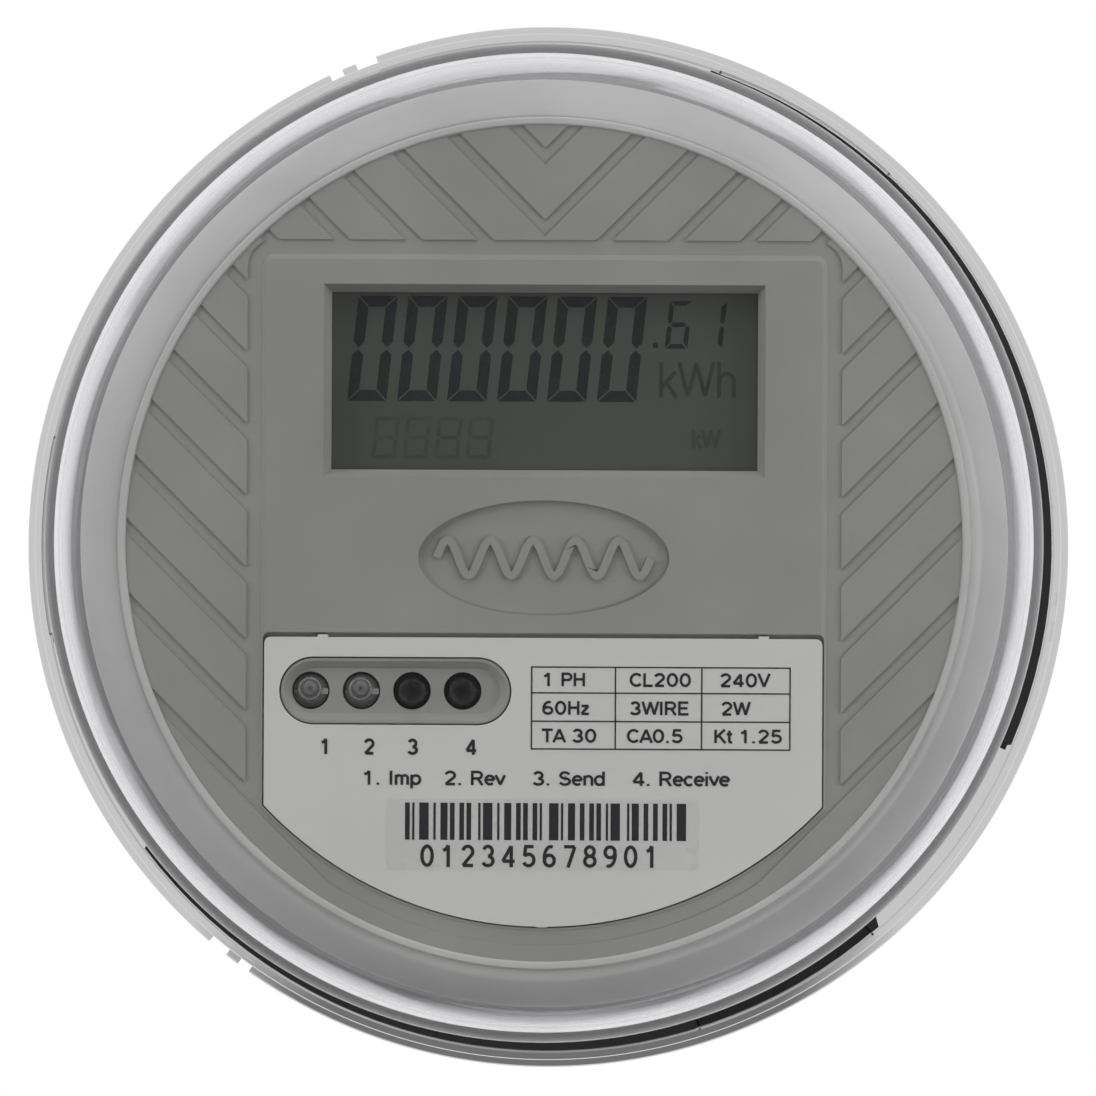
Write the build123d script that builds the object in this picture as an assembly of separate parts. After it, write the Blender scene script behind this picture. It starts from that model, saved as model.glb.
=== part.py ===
from build123d import *
from math import cos, radians, sin, sqrt
import os

# Round plug-in electricity meter: a black base with four blades that plug into a meter socket, a grey
# drum with the face on its front, and a clear domed cover that locks on with a short twist.
#
# Every piece is drawn with the meter's axis along +Z, its face looking along +Z and its top along +Y,
# in millimetres from the seating plane. Z is called depth here. The last step turns the pieces up, so
# that the face looks along -Y and the top is +Z.

# Base
BASE_RADIUS = 83.0
DECK = 4.6
POT_RADIUS = 73.5
POT_BACK = -7.0
POT_FLOOR = -4.4
SPIGOT_OUTER = 73.0
SPIGOT_INNER = 70.5
SPIGOT_TOP = 10.0
LEG_END = -31.0
LEG_X = 19.0
LEG_SIZE = (8.0, 12.0)
RIB_RING = 28.0
RIB_REACH = 63.0
RIB_WIDE = 2.0
RIB_HEIGHT = 1.2
BOSS_CIRCLE = 68.5
BOSS_ANGLES = (0, 90, 180, 270)

# Locking ring between base and cover
TURN = 25.2
GAP_CENTRES = (84.2, 204.2, 324.2)
GAP_WIDTH = 24.0
HOOK_RADIUS = 85.1
HOOK_LOW = 2.6
HOOK_SLANT = 0.9
LUG_WIDTH = 22.4
LUG_INNER = 83.3
LUG_DEPTHS = (0.5, 2.2)
WINDOW_WIDTH = 22.8

# Clear cover
COVER_WALL = 2.6
DOME_APEX = 77.0
DOME_DROP = 2.0
DOME_EDGE = 78.85
SHOULDER = 6.5
WALL_FOOT = 81.2
FLANGE_FRONT = 7.2
FLANGE_BACK = 5.3
SKIRT_OUTER = 86.6
SKIRT_INNER = 85.45
LIP_RADIUS = 88.15
LIP_DEPTHS = (0.4, 2.6)
NOTCH_STARTS = {109.6: 0.0, 229.6: 0.0, 349.6: 2.0}
NOTCH_CUTS = ((0.0, 2.4), (4.0, 1.5))
NOTCH_FLOOR = 86.1

# Gasket in its groove
GASKET_RADII = (79.0, 82.4)
GROOVE_FLOOR = 4.0
GASKET_TOP = 5.0

# Blades, their screws and the straps between them
BLADE_X = 36.1
BLADE_Y = 49.2
BLADE_THICK = 2.4
BLADE_WIDE = 19.05
BLADE_TIP = -29.0
BLADE_TOP = 16.0
COTTER_DEPTH = -8.4
STRAP_THICK = 2.5
STRAP_WIDE = 10.0
STRAP_DEPTH = 11.0
STRAP_REACH = 57.0
STRAP_X = BLADE_X - BLADE_THICK / 2 - STRAP_THICK / 2

# Current transformer
CT_OUTER = 14.5
CT_INNER = 7.5
CT_LONG = 14.0

# Drum and face
DRUM_FOOT = 75.6
DRUM_FLANGE = (78.2, 6.2)
DRUM_SHOULDER = (75.2, 50.0)
DRUM_MOUTH = (68.7, 63.9)
DRUM_INNER = 73.4
MOUTH_INNER = 66.6
RIDGE_OUTER = 67.75
RIDGE_TOP = 64.7
LEDGE = (59.4, 61.0)
LEDGE_INNER = 64.0
FACE_RADIUS = 66.45
FACE_BACK = 61.2
FACE_FLOOR = 64.1
PAD_TOP = 64.4
PANEL_TOP = 64.4

# Chevron grooves: bands at 45 degrees that meet on the centre line
GROOVE_PITCH = 11.4
GROOVE_BAND = 2.7
GROOVE_TOP = 62.8
GROOVE_COUNT = 14
GROOVE_FOOT = -41.0

# Centre panel, display window, badge and nameplate
PANEL_HALF = 44.95
PANEL_HEAD = 45.8
PANEL_CORNER = 2.0
PANEL_FOOT = 61.6
PANEL_EDGE = (0.25, 0.85)
CHANNEL = 2.3
WINDOW_HALF = (33.95, 14.15)
WINDOW_Y = 25.75
WINDOW_BEVEL = 1.15
WINDOW_FLOOR = 62.0
BADGE_Y = -2.4
BADGE_HALF = (19.95, 9.15)
BADGE_DEEP = 0.8
PLATE_HALF = 44.3
PLATE_HEAD = -15.1
PLATE_FOOT = 60.9
PLATE_BACK = 63.2
PLATE_TOP = 64.5
PLATE_GAP = 0.25
PLATE_CORNER = 1.0
POCKET_HEAD = -14.35
TAB_X = 35.0
TAB_SIZE = (1.65, 0.4)

# Light window with four LEDs
LED_PITCH = 8.05
LED_X = -36.95
LED_Y = -23.6
LED_RADIUS = 2.9
LED_SEAT = 58.8
LED_FRONT = 64.4
LED_DOME = 1.0
LIGHTS_X = -23.45
LIGHTS_HALF = (18.45, 5.4)
LIGHTS_FLOOR = 63.2
LIGHTS_SLOPE = 1.3

# Circuit boards
MAIN_BOARD = (38.0, 39.6)
MAIN_RADIUS = 66.5
DISPLAY_BOARD = (52.0, 53.6)
DISPLAY_RADIUS = 66.0
POST_X = 58.0
POST_Y = 24.0
POST_RADIUS = 3.6
HEADER_X = -14.0
HEADER_Y = -50.0
PIN_PITCH = 2.54

FLAT = (Align.CENTER, Align.CENTER, Align.MIN)
CORNERS = [(-1, 1), (1, 1), (-1, -1), (1, -1)]


# Shared shapes


def prism(face, low, high):
    """The face as a solid between two depths."""
    return Pos(0, 0, low) * extrude(face, high - low)


def block(x, y, wide, tall, low, high):
    """A box centred on x and y."""
    return Pos(x, y, low) * Box(wide, tall, high - low, align=FLAT)


def rod(x, y, radius, low, high):
    """A round bar along the depth."""
    return Pos(x, y, low) * Cylinder(radius, high - low, align=FLAT)


def cross_rod(x, y, depth, radius, length):
    """A round bar along X, centred on the point."""
    return Pos(x, y, depth) * Rot(0, 90, 0) * Cylinder(radius, length)


def lathe(outline):
    """The outline, drawn as radius and depth, turned about the meter's axis."""
    return revolve(Plane.XZ * outline, Axis.Z)


def eased(face, corners):
    """The face with a radius on each of the named corners."""
    for point, radius in corners:
        vertex = face.vertices().sort_by_distance(Vector(*point))[0]
        face = fillet(vertex, radius)
    return face


def sector(inner, outer, start, sweep, low, high, slant=0.0):
    """A block of a ring; slant shortens its outer edge at both ends, in degrees."""
    inside = CenterArc((0, 0), inner, start, sweep)
    outside = CenterArc((0, 0), outer, start + slant, sweep - 2 * slant)
    ends = [Line(inside @ end, outside @ end) for end in (0, 1)]
    return prism(make_face([inside, outside] + ends), low, high)


def lead(*route, radius, bend):
    """A wire along straight runs with one bend radius."""
    path = FilletPolyline(*route, radius=bend)
    start = Plane(origin=path @ 0, z_dir=path % 0)
    return sweep(start * Circle(radius), path)


# Base, blades and seal


def base():
    """Black moulding: seating flange, rear pot, spigot, hooks, posts and legs."""
    outline = Polyline(
        (0, POT_BACK),
        (POT_RADIUS, POT_BACK),
        (POT_RADIUS, 0),
        (BASE_RADIUS, 0),
        (BASE_RADIUS, DECK),
        (SPIGOT_OUTER, DECK),
        (SPIGOT_OUTER, SPIGOT_TOP),
        (SPIGOT_INNER, SPIGOT_TOP),
        (SPIGOT_INNER, POT_FLOOR),
        (0, POT_FLOOR),
        close=True,
    )
    body = lathe(eased(make_face(outline), [((POT_RADIUS, POT_BACK), 1.5)]))
    body -= prism(Circle(GASKET_RADII[1] + 0.1) - Circle(GASKET_RADII[0] - 0.1), GROOVE_FLOOR, DECK + 1)
    body += hooks_and_stops()
    ring = Circle(RIB_RING + RIB_WIDE / 2) - Circle(RIB_RING - RIB_WIDE / 2)
    body += prism(ring, POT_BACK - RIB_HEIGHT, POT_BACK)
    for angle in range(0, 360, 60):
        middle = (RIB_RING + RIB_REACH) / 2
        rib = block(middle, 0, RIB_REACH - RIB_RING, RIB_WIDE, POT_BACK - RIB_HEIGHT, POT_BACK)
        body += Rot(0, 0, angle) * rib
    for side, end in CORNERS:
        body += leg(side * LEG_X, end * BLADE_Y)
        body += rod(side * POST_X, end * POST_Y, POST_RADIUS, POT_FLOOR, MAIN_BOARD[0])
        body -= rod(side * POST_X, end * POST_Y, 1.3, MAIN_BOARD[0] - 12, MAIN_BOARD[0])
        body += block(side * BLADE_X, end * BLADE_Y, 8.0, 22.0, POT_FLOOR, 4.0)
        slot = (BLADE_THICK + 0.2, BLADE_WIDE + 0.2)
        body -= block(side * BLADE_X, end * BLADE_Y, *slot, POT_BACK - 2, 5.0)
    for place in boss_places():
        body += rod(*place, 4.2, POT_FLOOR, SPIGOT_TOP)
        body -= rod(*place, 1.9, POT_BACK - 2, SPIGOT_TOP)
        body -= rod(*place, 3.7, POT_BACK - 2, POT_BACK + 2.4)
    return body


def hooks_and_stops():
    """Three outward hooks that hold the cover's lugs, and the stops at both ends of its turn."""
    ring = Part()
    lug_half = LUG_WIDTH / 2
    for gap in GAP_CENTRES:
        start = gap + GAP_WIDTH / 2
        ring += sector(82.5, HOOK_RADIUS, start, 120 - GAP_WIDTH, HOOK_LOW, DECK, HOOK_SLANT)
        ring += sector(82.5, 84.6, gap - TURN - lug_half - 2.0, 1.6, LUG_DEPTHS[0], HOOK_LOW)
        ring += sector(82.5, 84.6, gap + lug_half + 0.9, 1.6, LUG_DEPTHS[0], HOOK_LOW)
    return ring


def boss_places():
    """Where the four screws join the drum to the base."""
    return [(BOSS_CIRCLE * cos(radians(a)), BOSS_CIRCLE * sin(radians(a))) for a in BOSS_ANGLES]


def leg(x, y):
    """Foot that stands beside a blade and guards it."""
    post = block(x, y, *LEG_SIZE, LEG_END, POT_BACK)
    post = fillet(post.edges().filter_by(Axis.Z), 1.5)
    return chamfer(post.faces().sort_by(Axis.Z)[0].edges(), 0.8)


def blade():
    """Contact blade at the origin: bevelled tip, cotter hole, and screw hole at its inner end."""
    bar = block(0, 0, BLADE_THICK, BLADE_WIDE, BLADE_TIP, BLADE_TOP)
    tip = bar.faces().sort_by(Axis.Z)[0]
    bar = chamfer(tip.edges().filter_by(Axis.X), 2.5)
    tip = bar.faces().sort_by(Axis.Z)[0]
    bar = chamfer(tip.edges().filter_by(Axis.Y), 0.7)
    bar -= cross_rod(0, 0, COTTER_DEPTH, 0.9, 5)
    bar -= cross_rod(0, 0, STRAP_DEPTH, 2.5, 5)
    return bar


def cotter_pins():
    """Headed pins that stop the blades pulling out of the base."""
    pins = []
    for side, end in CORNERS:
        pin = cross_rod(side * BLADE_X, end * BLADE_Y, COTTER_DEPTH, 0.8, 9.0)
        pin += cross_rod(side * (BLADE_X - 4.5), end * BLADE_Y, COTTER_DEPTH, 1.2, 1.2)
        pins.append(pin)
    return Part() + pins


def gasket():
    """Soft ring that the cover's flange closes on."""
    low, high = GASKET_RADII
    ring = prism(Circle(high) - Circle(low), GROOVE_FLOOR, GASKET_TOP)
    return fillet(ring.faces().sort_by(Axis.Z)[-1].edges(), 0.4)


# Cover


def dome(apex, edge, drop):
    """Front arc of the cover's section, level at the axis."""
    arc_radius = (edge**2 + drop**2) / (2 * drop)
    half = edge / 2
    middle = apex - arc_radius + sqrt(arc_radius**2 - half**2)
    return ThreePointArc((0, apex), (half, middle), (edge, apex - drop))


def cover():
    """Clear dome with its flange, skirt, lip, lugs, and the windows in front of the lugs."""
    outer_corner = (DOME_EDGE, DOME_APEX - DOME_DROP)
    inner_corner = (DOME_EDGE - COVER_WALL, DOME_APEX - DOME_DROP - COVER_WALL)
    outer_dome = dome(DOME_APEX, DOME_EDGE, DOME_DROP)
    inner_dome = dome(DOME_APEX - COVER_WALL, DOME_EDGE - COVER_WALL, DOME_DROP)
    walls = Polyline(
        outer_corner,
        (WALL_FOOT, FLANGE_FRONT),
        (SKIRT_OUTER, FLANGE_FRONT),
        (SKIRT_OUTER, LIP_DEPTHS[1]),
        (LIP_RADIUS, LIP_DEPTHS[1]),
        (LIP_RADIUS, LIP_DEPTHS[0]),
        (SKIRT_INNER, LIP_DEPTHS[0]),
        (SKIRT_INNER, FLANGE_BACK),
        (WALL_FOOT - COVER_WALL, FLANGE_BACK),
        inner_corner,
    )
    axis_line = Line((0, DOME_APEX - COVER_WALL), (0, DOME_APEX))
    section = eased(
        make_face([outer_dome, walls, inner_dome, axis_line]),
        [
            (outer_corner, SHOULDER),
            (inner_corner, SHOULDER - COVER_WALL),
            ((WALL_FOOT, FLANGE_FRONT), 1.0),
            ((SKIRT_OUTER, FLANGE_FRONT), 0.2),
            ((LIP_RADIUS, LIP_DEPTHS[1]), 0.3),
        ],
    )
    shell = lathe(section)
    for gap in GAP_CENTRES:
        lug_centre = gap - TURN
        window_start = lug_centre - WINDOW_WIDTH / 2
        shell -= sector(83.1, SKIRT_INNER, window_start, WINDOW_WIDTH, 5.0, FLANGE_FRONT + 1)
        shell += sector(LUG_INNER, SKIRT_INNER + 0.5, lug_centre - LUG_WIDTH / 2, LUG_WIDTH, *LUG_DEPTHS)
    for start, low in NOTCH_STARTS.items():
        for offset, width in NOTCH_CUTS:
            shell -= sector(NOTCH_FLOOR, LIP_RADIUS + 2, start + offset, width, low, 3.4)
    return shell


# Drum and face


def housing_drum():
    """Grey drum that carries the face: ridge and ledge at its mouth, flange and bosses at its foot."""
    flange_radius, flange_top = DRUM_FLANGE
    outline = [
        Polyline(
            (DRUM_INNER, DECK),
            (flange_radius, DECK),
            (flange_radius, flange_top),
            (DRUM_FOOT, flange_top),
            DRUM_SHOULDER,
        ),
        ThreePointArc(DRUM_SHOULDER, (73.6, 58.4), DRUM_MOUTH),
        Polyline(
            DRUM_MOUTH,
            (RIDGE_OUTER, DRUM_MOUTH[1]),
            (RIDGE_OUTER, RIDGE_TOP),
            (MOUTH_INNER, RIDGE_TOP),
            (MOUTH_INNER, LEDGE[1]),
            (LEDGE_INNER, LEDGE[1]),
            (LEDGE_INNER, LEDGE[0]),
            (69.2, LEDGE[0]),
        ),
        ThreePointArc((69.2, LEDGE[0]), (71.6, 55.6), (73.0, 49.5)),
        Line((73.0, 49.5), (DRUM_INNER, DECK)),
    ]
    ridge_edges = [((RIDGE_OUTER, RIDGE_TOP), 0.4), ((MOUTH_INNER, RIDGE_TOP), 0.4)]
    drum = lathe(eased(make_face(outline), ridge_edges))
    for angle in BOSS_ANGLES:
        web = block(71.2, 0, 5.4, 5.0, SPIGOT_TOP + 0.2, 26)
        boss = rod(BOSS_CIRCLE, 0, 4.2, SPIGOT_TOP + 0.2, 26) + web
        drum += Rot(0, 0, angle) * (boss - rod(BOSS_CIRCLE, 0, 1.5, SPIGOT_TOP, 22))
    return drum


def panel_outline(grow=0.0):
    """Centre panel: straight sides, round top corners, and a foot concentric with the meter."""
    half = PANEL_HALF + grow
    tall = PANEL_HEAD + grow
    column = Pos(0, tall - 80) * RectangleRounded(2 * half, 160, PANEL_CORNER + grow)
    head = column & Pos(0, 60) * Rectangle(2 * half, 120)
    return head + (column & Circle(PANEL_FOOT + grow))


def chevrons():
    """Grooves that run down towards the centre line from both sides."""
    bands = []
    for number in range(GROOVE_COUNT):
        top = GROOVE_TOP - number * GROOVE_PITCH
        bottom = top - GROOVE_BAND
        corners = [(0, top), (-140, top + 140), (-140, bottom + 140), (0, bottom)]
        left = make_face(Polyline(*corners, close=True))
        bands += [left, mirror(left, Plane.YZ)]
    return Sketch() + bands


def sunk_area():
    """Channel round the panel and the chevron grooves; the ring below the last groove is whole."""
    foot = GROOVE_TOP - (GROOVE_COUNT - 1) * GROOVE_PITCH - GROOVE_BAND
    corners = [(0, foot), (180, foot + 180), (-180, foot + 180)]
    above = make_face(Polyline(*corners, close=True))
    grooves = chevrons() & Pos(0, GROOVE_FOOT + 100) * Rectangle(200, 200)
    return above & (panel_outline(CHANNEL) + grooves)


def plate_outline():
    """Nameplate: round top corners, a foot concentric with the meter, and three small tabs."""
    sheet = Pos(0, PLATE_HEAD - 60) * RectangleRounded(2 * PLATE_HALF, 120, PLATE_CORNER)
    sheet = sheet & Circle(PLATE_FOOT)
    wide, proud = TAB_SIZE
    for side in (-1, 1):
        sheet += Pos(side * TAB_X, PLATE_HEAD) * Rectangle(wide, 2 * proud)
    return sheet + Pos(0, -PLATE_FOOT) * Rectangle(wide, PLATE_GAP)


def pocket_outline():
    """Pocket in the panel: tight at the plate's sides and foot, with a wider gap at its head."""
    half = PLATE_HALF + PLATE_GAP
    sheet = Pos(0, POCKET_HEAD - 60) * RectangleRounded(2 * half, 120, PLATE_CORNER)
    return sheet & Circle(PLATE_FOOT + PLATE_GAP)


def slot_outline(grow=0.0):
    """Round-ended window round the four LEDs."""
    return Pos(LIGHTS_X, LED_Y) * SlotOverall(2 * (LIGHTS_HALF[0] + grow), 2 * (LIGHTS_HALF[1] + grow))


def led_places():
    """Centres of the four LEDs."""
    return [(LED_X + number * LED_PITCH, LED_Y) for number in range(4)]


def faceplate():
    """Grey face: grooved pads, centre panel with display window, badge recess and plate pocket."""
    plate = prism(Circle(FACE_RADIUS), FACE_BACK, FACE_FLOOR)
    pads = Circle(FACE_RADIUS) - sunk_area()
    panel = prism(panel_outline(), FACE_FLOOR, PANEL_TOP)
    panel = chamfer(panel.faces().sort_by(Axis.Z)[-1].edges(), *PANEL_EDGE)
    plate += [prism(pads, FACE_FLOOR, PAD_TOP), panel]
    plate -= prism(pocket_outline(), PLATE_BACK, PANEL_TOP + 1)
    plate += prism(slot_outline(-PLATE_GAP), PLATE_BACK, PANEL_TOP - 0.1)
    plate -= loft([
        Pos(0, 0, PANEL_TOP) * slot_outline(-PLATE_GAP - 0.3),
        Pos(0, 0, LIGHTS_FLOOR) * slot_outline(-PLATE_GAP - 0.3 - LIGHTS_SLOPE),
    ])
    wide, tall = WINDOW_HALF
    grown = 2 * WINDOW_BEVEL
    plate -= loft([
        Pos(0, WINDOW_Y, PANEL_TOP) * Rectangle(2 * wide + grown, 2 * tall + grown),
        Pos(0, WINDOW_Y, WINDOW_FLOOR) * Rectangle(2 * wide, 2 * tall),
    ])
    plate -= block(0, WINDOW_Y, 2 * wide, 2 * tall, FACE_BACK, WINDOW_FLOOR)
    plate -= prism(Pos(0, BADGE_Y) * Ellipse(*BADGE_HALF), PANEL_TOP - BADGE_DEEP, PANEL_TOP)
    for place in led_places():
        plate -= rod(*place, LED_RADIUS + 0.1, FACE_BACK, PANEL_TOP)
    return plate + [Rot(0, 0, angle) * snap_hook() for angle in (45, 135, 225, 315)]


def snap_hook():
    """Finger behind the face whose barb catches under the drum's ledge."""
    finger = block(62.4, 0, 1.8, 8.0, LEDGE[0] - 2.2, FACE_BACK)
    return finger + block(63.8, 0, 2.4, 8.0, LEDGE[0] - 2.0, LEDGE[0] - 0.2)


def nameplate():
    """Light plate in the panel's pocket, open round the LED window."""
    return prism(plate_outline() - slot_outline(), PLATE_BACK, PLATE_TOP)


# Display


def lcd_panel():
    """Two bonded glasses; the rear one is longer, for the contacts."""
    front = block(0, WINDOW_Y, 74, 32, 59.7, 60.9)
    return front + block(0, WINDOW_Y, 74, 37, 58.5, 59.7)


def lcd_holder():
    """Frame that keeps the glass, the light guide and the contact strips on the board."""
    frame = block(0, WINDOW_Y, 80, 42, DISPLAY_BOARD[1], 60.9)
    frame -= block(0, WINDOW_Y, 74.4, 37.4, DISPLAY_BOARD[1], 61)
    return frame


def lcd_backlight():
    """Light guide behind the glass."""
    return block(0, WINDOW_Y, 72, 29, 55.2, 58.3)


def zebra_strips():
    """Rubber contact strips from the glass to the board, above and below the light guide."""
    strips = [block(0, WINDOW_Y + end * 17.2, 70, 2.2, DISPLAY_BOARD[1], 58.5) for end in (-1, 1)]
    return Part() + strips


def led(place):
    """Round LED with a low dome and two legs that reach through the board."""
    shoulder = (LED_RADIUS, LED_FRONT - LED_DOME)
    sides = Polyline(shoulder, (LED_RADIUS, LED_SEAT), (0, LED_SEAT), (0, LED_FRONT))
    section = make_face([dome(LED_FRONT, LED_RADIUS, LED_DOME), sides])
    body = Pos(*place, 0) * lathe(section)
    for side in (-1, 1):
        body += block(place[0] + side * 1.27, place[1], 0.5, 0.5, DISPLAY_BOARD[0] - 1, LED_SEAT)
    return body


def led_holder():
    """Spacer that stands the LEDs off the board."""
    spacer = prism(Pos(LED_X + 1.5 * LED_PITCH, LED_Y) * SlotOverall(32, 7.4), DISPLAY_BOARD[1], LED_SEAT)
    for x, y in led_places():
        for side in (-1, 1):
            spacer -= rod(x + side * 1.27, y, 0.5, DISPLAY_BOARD[1], LED_SEAT)
    return spacer


def display_board():
    """Front board behind the face."""
    board = prism(Circle(DISPLAY_RADIUS) & Rectangle(140, 116), *DISPLAY_BOARD)
    for x, y in led_places():
        for side in (-1, 1):
            board -= rod(x + side * 1.27, y, 0.5, *DISPLAY_BOARD)
    for side, end in CORNERS:
        board -= rod(side * POST_X, end * POST_Y, 1.6, *DISPLAY_BOARD)
    return board


def flat_chip(x, y, width, low, high, legs):
    """Square chip with a row of legs on each side."""
    chip = block(x, y, width, width, low + 0.15, high)
    pitch = width * 0.8 / (legs - 1)
    for number in range(legs):
        offset = (number - (legs - 1) / 2) * pitch
        chip += block(x, y + offset, width + 2.4, pitch * 0.45, low, low + 0.35)
        chip += block(x + offset, y, pitch * 0.45, width + 2.4, low, low + 0.35)
    return chip


def display_chip():
    """Controller that drives the display."""
    return flat_chip(24, -44, 12, DISPLAY_BOARD[1], DISPLAY_BOARD[1] + 1.5, 10)


def crystal():
    """Low metal can of the clock crystal."""
    can = prism(Pos(6, -46) * SlotOverall(11, 4.7), DISPLAY_BOARD[1], DISPLAY_BOARD[1] + 3.5)
    return fillet(can.faces().sort_by(Axis.Z)[-1].edges(), 0.4)


def battery():
    """Coin cell that keeps the clock going."""
    cell = rod(20, -24, 10, DISPLAY_BOARD[1] + 1.2, DISPLAY_BOARD[1] + 4.4)
    return fillet(cell.faces().sort_by(Axis.Z)[-1].edges(), 0.5)


def battery_holder():
    """Cup that grips the coin cell."""
    cup = rod(20, -24, 11.2, DISPLAY_BOARD[1], DISPLAY_BOARD[1] + 3.4)
    return cup - rod(20, -24, 10.1, DISPLAY_BOARD[1] + 1.1, DISPLAY_BOARD[1] + 5)


# Power and measuring side


def main_board():
    """Rear board on the base's posts."""
    board = prism(Circle(MAIN_RADIUS) & Rectangle(140, 120), *MAIN_BOARD)
    for side, end in CORNERS:
        board -= rod(side * POST_X, end * POST_Y, 1.7, *MAIN_BOARD)
    for place in pin_places() + varistor_legs():
        board -= rod(*place, 0.5, *MAIN_BOARD)
    return board


def board_spacers():
    """Six-sided spacers between the boards, with studs that screw into the base's posts."""
    spacers = []
    for side, end in CORNERS:
        x, y = side * POST_X, end * POST_Y
        spacer = prism(Pos(x, y) * RegularPolygon(3.2, 6), MAIN_BOARD[1], DISPLAY_BOARD[0])
        spacer += rod(x, y, 1.25, MAIN_BOARD[0] - 10, MAIN_BOARD[1])
        spacers.append(spacer - rod(x, y, 1.25, DISPLAY_BOARD[0] - 8, DISPLAY_BOARD[0]))
    return Part() + spacers


def board_screws():
    """Pan-head screws that hold the front board."""
    screws = []
    for side, end in CORNERS:
        x, y = side * POST_X, end * POST_Y
        head = rod(x, y, 2.8, DISPLAY_BOARD[1], DISPLAY_BOARD[1] + 2)
        head = fillet(head.faces().sort_by(Axis.Z)[-1].edges(), 0.8)
        screws.append(head + rod(x, y, 1.2, DISPLAY_BOARD[0] - 6, DISPLAY_BOARD[1]))
    return Part() + screws


def housing_screws():
    """Screws from the back of the base into the drum's bosses."""
    screws = []
    for place in boss_places():
        head = rod(*place, 3.3, POT_BACK + 0.2, POT_BACK + 2.4)
        head -= block(*place, 4.6, 0.9, POT_BACK, POT_BACK + 1.2)
        head -= block(*place, 0.9, 4.6, POT_BACK, POT_BACK + 1.2)
        screws.append(head + rod(*place, 1.45, POT_BACK + 2.4, 20))
    return Part() + screws


def film_capacitor():
    """Block capacitor of the power supply."""
    return fillet(block(26, -30, 26, 17, MAIN_BOARD[1], MAIN_BOARD[1] + 10.5).edges(), 0.6)


def varistor():
    """Disc that takes voltage surges."""
    disc = cross_rod(45, -6, MAIN_BOARD[1] + 6.2, 5.2, 4.2)
    disc = fillet(disc.edges(), 1.0)
    for place in varistor_legs():
        disc += rod(*place, 0.4, MAIN_BOARD[0] - 1, MAIN_BOARD[1] + 4)
    return disc


def varistor_legs():
    """Where the varistor's wires pass the rear board."""
    return [(45, -8.5), (45, -3.5)]


def electrolytic_caps():
    """Two can capacitors of the power supply."""
    cans = []
    for y in (8, 21):
        can = rod(36, y, 5, MAIN_BOARD[1], MAIN_BOARD[1] + 11)
        cans.append(fillet(can.edges(), 0.5))
    return Part() + cans


def metering_chip():
    """Measuring chip on the rear board."""
    return flat_chip(-12, 14, 10, MAIN_BOARD[1], MAIN_BOARD[1] + 1.5, 8)


def pin_places():
    """Centres of the pins between the boards."""
    return [(HEADER_X + (number - 4.5) * PIN_PITCH, HEADER_Y) for number in range(10)]


def board_header():
    """Pins that join the boards, in their plastic strip."""
    strip = block(HEADER_X, HEADER_Y, 26, 5, MAIN_BOARD[1], MAIN_BOARD[1] + 2.5)
    for place in pin_places():
        strip += block(*place, 0.6, 0.6, MAIN_BOARD[0] - 1, DISPLAY_BOARD[0] - 2)
    return strip


def board_socket():
    """Socket under the front board that takes the pins."""
    strip = block(HEADER_X, HEADER_Y, 26, 5, DISPLAY_BOARD[0] - 8, DISPLAY_BOARD[0])
    for place in pin_places():
        strip -= block(*place, 0.8, 0.8, DISPLAY_BOARD[0] - 8, DISPLAY_BOARD[0] - 1.5)
    return strip


def strap(side):
    """Copper strap from the upper blade to the lower one."""
    bar = block(side * STRAP_X, 0, STRAP_THICK, 2 * STRAP_REACH, 6, 6 + STRAP_WIDE)
    bar = fillet(bar.edges().filter_by(Axis.X), 3)
    for end in (-1, 1):
        bar -= cross_rod(side * STRAP_X, end * BLADE_Y, STRAP_DEPTH, 2.6, 5)
    return bar


def strap_screws():
    """Screws that clamp the straps to the blades."""
    screws = []
    for side, end in CORNERS:
        inner_face = STRAP_X - STRAP_THICK / 2
        head = cross_rod(side * (inner_face - 1.4), end * BLADE_Y, STRAP_DEPTH, 4.2, 2.8)
        screws.append(head + cross_rod(side * (inner_face + 3.6), end * BLADE_Y, STRAP_DEPTH, 2.4, 7.2))
    return Part() + screws


def current_transformer():
    """Ring round the left strap that measures the current."""
    ring = Cylinder(CT_OUTER, CT_LONG) - Cylinder(CT_INNER, CT_LONG)
    return Pos(-STRAP_X, 0, STRAP_DEPTH) * Rot(90, 0, 0) * fillet(ring.edges(), 1.2)


def ct_cradle():
    """Saddle on the base's floor that the transformer sits in."""
    saddle = block(-STRAP_X, 0, 33, 18, POT_FLOOR, 5)
    return saddle - Pos(-STRAP_X, 0, STRAP_DEPTH) * Rot(90, 0, 0) * Cylinder(CT_OUTER + 0.1, 20)


def ct_leads():
    """Two wires from the transformer to the rear board."""
    wires = []
    for offset in (-2.5, 2.5):
        x = -STRAP_X + offset
        route = [(x, CT_LONG / 2, 21), (x, 14, 21), (x, 14, MAIN_BOARD[0])]
        wires.append(lead(*route, radius=0.7, bend=4))
    return Part() + wires


def voltage_leads():
    """Wires from the edges of both straps to the rear board."""
    wires = []
    for side in (-1, 1):
        x = side * STRAP_X
        bent = x - side * 6
        route = [(x, 28, 6 + STRAP_WIDE), (x, 28, 25), (bent, 28, 30), (bent, 28, MAIN_BOARD[0])]
        wires.append(lead(*route, radius=0.9, bend=3))
    return Part() + wires


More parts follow.
